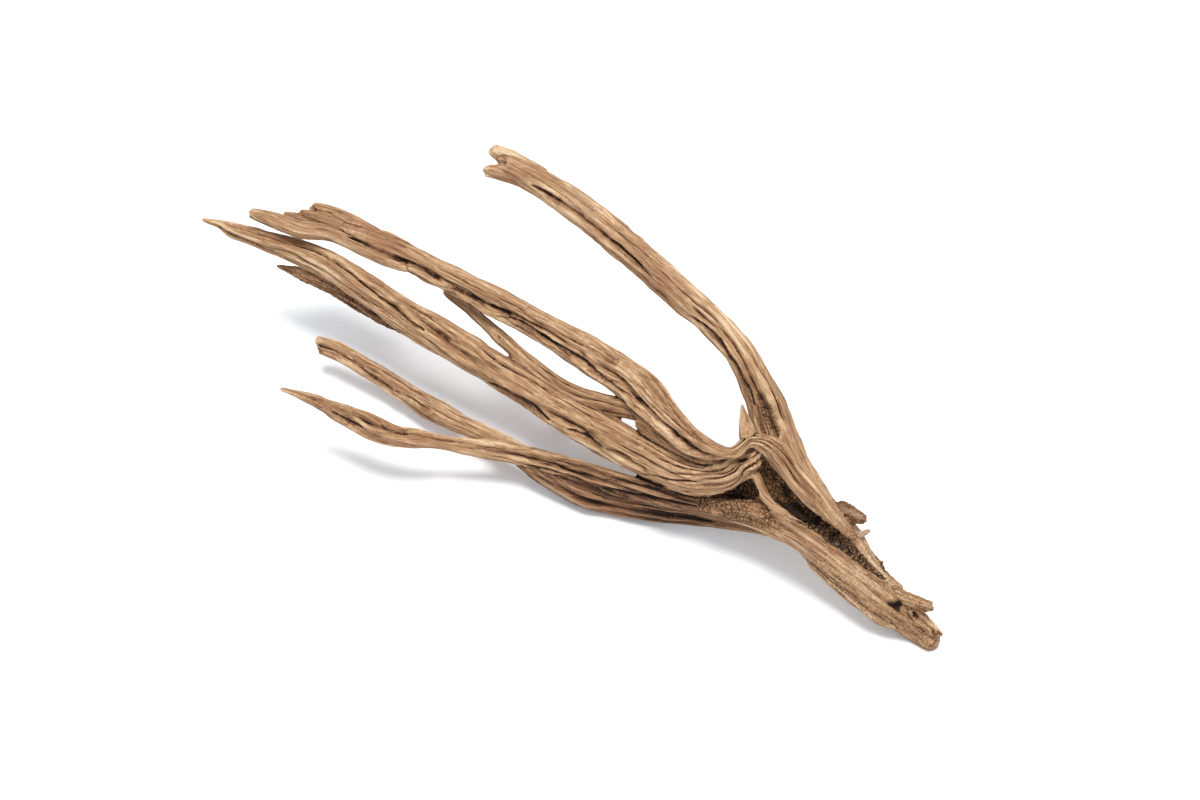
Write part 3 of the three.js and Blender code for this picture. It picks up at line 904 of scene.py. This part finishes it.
def colour_property(name, description, default):
    """A colour that a user may change."""
    return FloatVectorProperty(
        name=name, description=description, subtype="COLOR", size=3, min=0, max=1, default=default
    )


class DriftwoodShape(bpy.types.PropertyGroup):
    """Sizes of the wood's surface."""

    voxel: FloatProperty(
        name="Voxel",
        description="Cell size at which the limbs are joined into one surface",
        unit="LENGTH",
        default=VOXEL,
        min=0.3 * MM,
        precision=5,
    )
    grain_depth: FloatProperty(
        name="Grain depth",
        description="How far the grain stands up from the strands",
        unit="LENGTH",
        default=0.2 * MM,
        precision=5,
    )
    triangles: IntProperty(
        name="Triangles", description="Face budget of the finished piece", default=196000, min=10000
    )
    seed: IntProperty(name="Seed", description="Draws another set of small grooves", default=11)


class DriftwoodFinish(bpy.types.PropertyGroup):
    """Colours of the wood, from its deepest grooves to its bleached ridges."""

    # The groove colour is also painted into the deepest hollows as shade. The hollows and the low limbs are
    # darkened towards the shade colour as painted shade.
    groove: colour_property("Groove", "Colour deep in the grooves and splits", (0.017, 0.008, 0.004))
    shade: colour_property("Shade", "Colour of the sunken strands", (0.105, 0.044, 0.020))
    body: colour_property("Body", "Colour of most of the wood", (0.290, 0.150, 0.072))
    ridge: colour_property("Ridge", "Colour of the worn strands", (0.465, 0.278, 0.145))
    bleached: colour_property("Bleached", "Colour of the palest rims", (0.690, 0.490, 0.310))
    reddish: colour_property("Reddish", "Colour of the red-brown patches", (0.270, 0.112, 0.054))
    tawny: colour_property("Tawny", "Colour of the wood that begins to crumble", (0.420, 0.215, 0.085))
    grey: colour_property("Grey", "Colour of the silvered patches", (0.390, 0.315, 0.245))
    rot: colour_property("Rot", "Colour of the crumbled heart", (0.330, 0.180, 0.085))


class DriftwoodStage(bpy.types.PropertyGroup):
    """The floor, the light and the view."""

    floor: colour_property("Floor", "Colour of the floor", (0.95, 0.95, 0.95))
    azimuth: FloatProperty(
        name="Azimuth", description="Turn of the view round the piece, in degrees", default=34.3
    )
    elevation: FloatProperty(
        name="Elevation", description="View's height above level, in degrees", default=50.0
    )
    distance: FloatProperty(
        name="Distance", description="From the camera to the spot it aims at", unit="LENGTH", default=1.7
    )
    lens: FloatProperty(name="Lens", description="Focal length in millimetres", default=85.0)
    aim: FloatVectorProperty(
        name="Aim", description="Spot on the floor at the middle of the view", unit="LENGTH",
        default=(-7.3 * MM, 45.9 * MM, 0.0),
    )
    key: FloatProperty(name="Key light", description="Strength of the overhead light", default=2.7)
    fill: FloatProperty(name="Fill light", description="Strength of the light from all round", default=0.9)


class DRIFTWOOD_OT_wood(bpy.types.Operator):
    """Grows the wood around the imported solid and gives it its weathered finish"""

    bl_idname = "driftwood.wood"
    bl_label = "Grow the wood"

    def execute(self, context):
        scene = context.scene
        piece = grown(scene.driftwood_shape)
        piece.data.materials.clear()
        piece.data.materials.append(wood_finish(scene.driftwood_finish))
        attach(piece, "root")
        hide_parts("driftwood")
        return {"FINISHED"}


class DRIFTWOOD_OT_stage(bpy.types.Operator):
    """Lays the pale floor, hangs the soft light and sets the camera"""

    bl_idname = "driftwood.stage"
    bl_label = "Set the stage"

    def execute(self, context):
        stage = context.scene.driftwood_stage
        self.floor(stage)
        self.lights(context.scene, stage)
        self.camera(context.scene, stage)
        return {"FINISHED"}

    @staticmethod
    def floor(stage):
        """A wide square just under the wood."""
        half, drop = 6.0, 0.1 * MM
        corners = [(-half, -half, -drop), (half, -half, -drop), (half, half, -drop), (-half, half, -drop)]
        mesh = bpy.data.meshes.new("floor")
        mesh.from_pydata(corners, [], [(0, 1, 2, 3)])
        floor = bpy.data.objects.new("floor", mesh)
        bpy.context.collection.objects.link(floor)
        finish = Finish("floor_paint")
        finish.feed(finish.surface.inputs["Base Color"], (*stage.floor, 1))
        finish.feed(finish.surface.inputs["Roughness"], 0.9)
        finish.feed(finish.surface.inputs["Specular IOR Level"], 0.1)
        mesh.materials.append(finish.material)

    @staticmethod
    def lights(scene, stage):
        """A broad overhead sun and an even sky."""
        sun = bpy.data.lights.new("key", "SUN")
        sun.energy = stage.key
        sun.angle = np.radians(24)
        key = bpy.data.objects.new("key", sun)
        bpy.context.collection.objects.link(key)
        key.rotation_euler = Vector((0.0, 0.02, 1.0)).to_track_quat("Z", "Y").to_euler()
        world = bpy.data.worlds.new("studio")
        world.use_nodes = True
        world.node_tree.nodes["Background"].inputs["Color"].default_value = (0.9, 0.95, 1, 1)
        world.node_tree.nodes["Background"].inputs["Strength"].default_value = stage.fill
        scene.world = world
        scene.view_settings.view_transform = "Standard"

    @staticmethod
    def camera(scene, stage):
        """The camera stands back from the aim by the distance, along the view's azimuth and elevation."""
        turn, rise = np.radians(stage.azimuth), np.radians(stage.elevation)
        back = Vector((np.sin(turn) * np.cos(rise), -np.cos(turn) * np.cos(rise), np.sin(rise)))
        data = bpy.data.cameras.new("camera")
        data.lens = stage.lens
        data.sensor_width = 36.0
        camera = bpy.data.objects.new("camera", data)
        bpy.context.collection.objects.link(camera)
        camera.location = Vector(stage.aim) + back * stage.distance
        camera.rotation_euler = back.to_track_quat("Z", "Y").to_euler()
        scene.camera = camera


class DRIFTWOOD_PT_panel(bpy.types.Panel):
    """The driftwood's settings and steps"""

    bl_label = "Driftwood"
    bl_idname = "DRIFTWOOD_PT_panel"
    bl_space_type = "VIEW_3D"
    bl_region_type = "UI"
    bl_category = "Driftwood"

    def draw(self, context):
        for group, step in GROUPS.items():
            box = self.layout.box()
            settings = getattr(context.scene, group)
            for key in settings.__annotations__:
                box.prop(settings, key)
            if step:
                box.operator(step)


GROUPS = {"driftwood_shape": "driftwood.wood", "driftwood_finish": None, "driftwood_stage": "driftwood.stage"}
SETTINGS = {
    "driftwood_shape": DriftwoodShape,
    "driftwood_finish": DriftwoodFinish,
    "driftwood_stage": DriftwoodStage,
}
CLASSES = (*SETTINGS.values(), DRIFTWOOD_OT_wood, DRIFTWOOD_OT_stage, DRIFTWOOD_PT_panel)


def register():
    for cls in CLASSES:
        bpy.utils.register_class(cls)
    for name, group in SETTINGS.items():
        setattr(bpy.types.Scene, name, PointerProperty(type=group))


def unregister():
    for name in SETTINGS:
        delattr(bpy.types.Scene, name)
    for cls in reversed(CLASSES):
        bpy.utils.unregister_class(cls)


def corners(box):
    """A box's two corners as plain lists."""
    return [list(corner) for corner in box]


def main():
    register()
    bpy.ops.driftwood.stage()
    bpy.ops.driftwood.wood()


if __name__ == "__main__":
    main()
